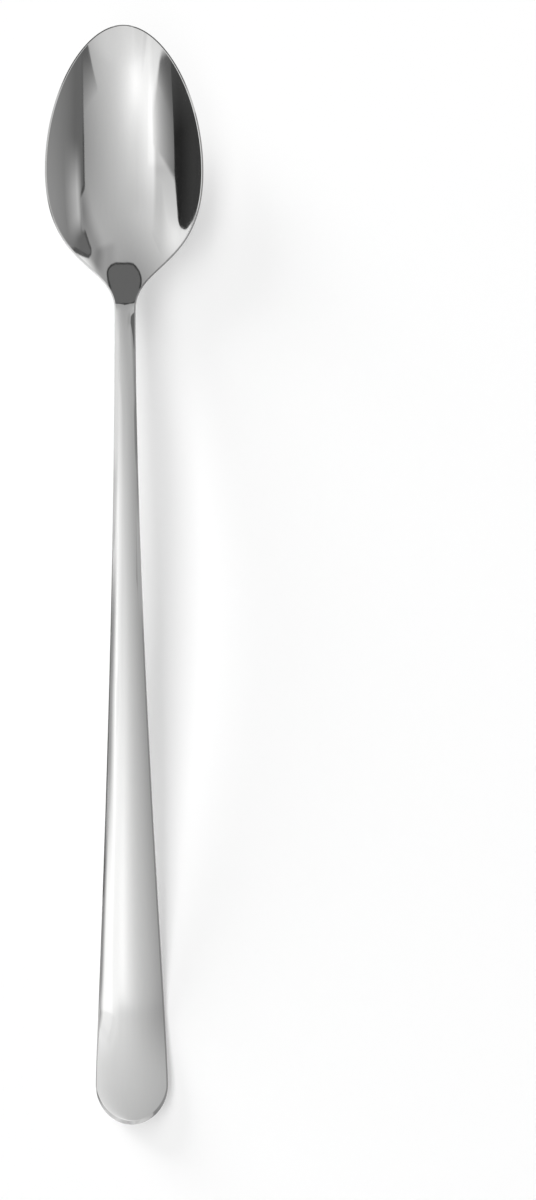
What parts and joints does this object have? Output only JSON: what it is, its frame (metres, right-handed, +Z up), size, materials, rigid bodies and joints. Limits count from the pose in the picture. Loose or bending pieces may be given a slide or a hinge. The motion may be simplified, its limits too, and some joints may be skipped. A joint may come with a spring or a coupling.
{
  "type": "sorbet spoon",
  "caption": "Long-handled sorbet spoon with a pointed oval bowl, a slim neck and a crowned handle that widens to a rounded, upturned end.",
  "frame": {"origin": "on the table, under the middle of the spoon's length and width", "axes": "+Y from the end of the handle to the tip of the bowl, +Z up out of the bowl, +X to the right"},
  "size_m": [0.0288, 0.2, 0.0144],
  "materials": {
    "polished_stainless": "polished"
  },
  "bodies": {
    "root": {"spoon": "polished_stainless"}
  },
  "joints": []
}
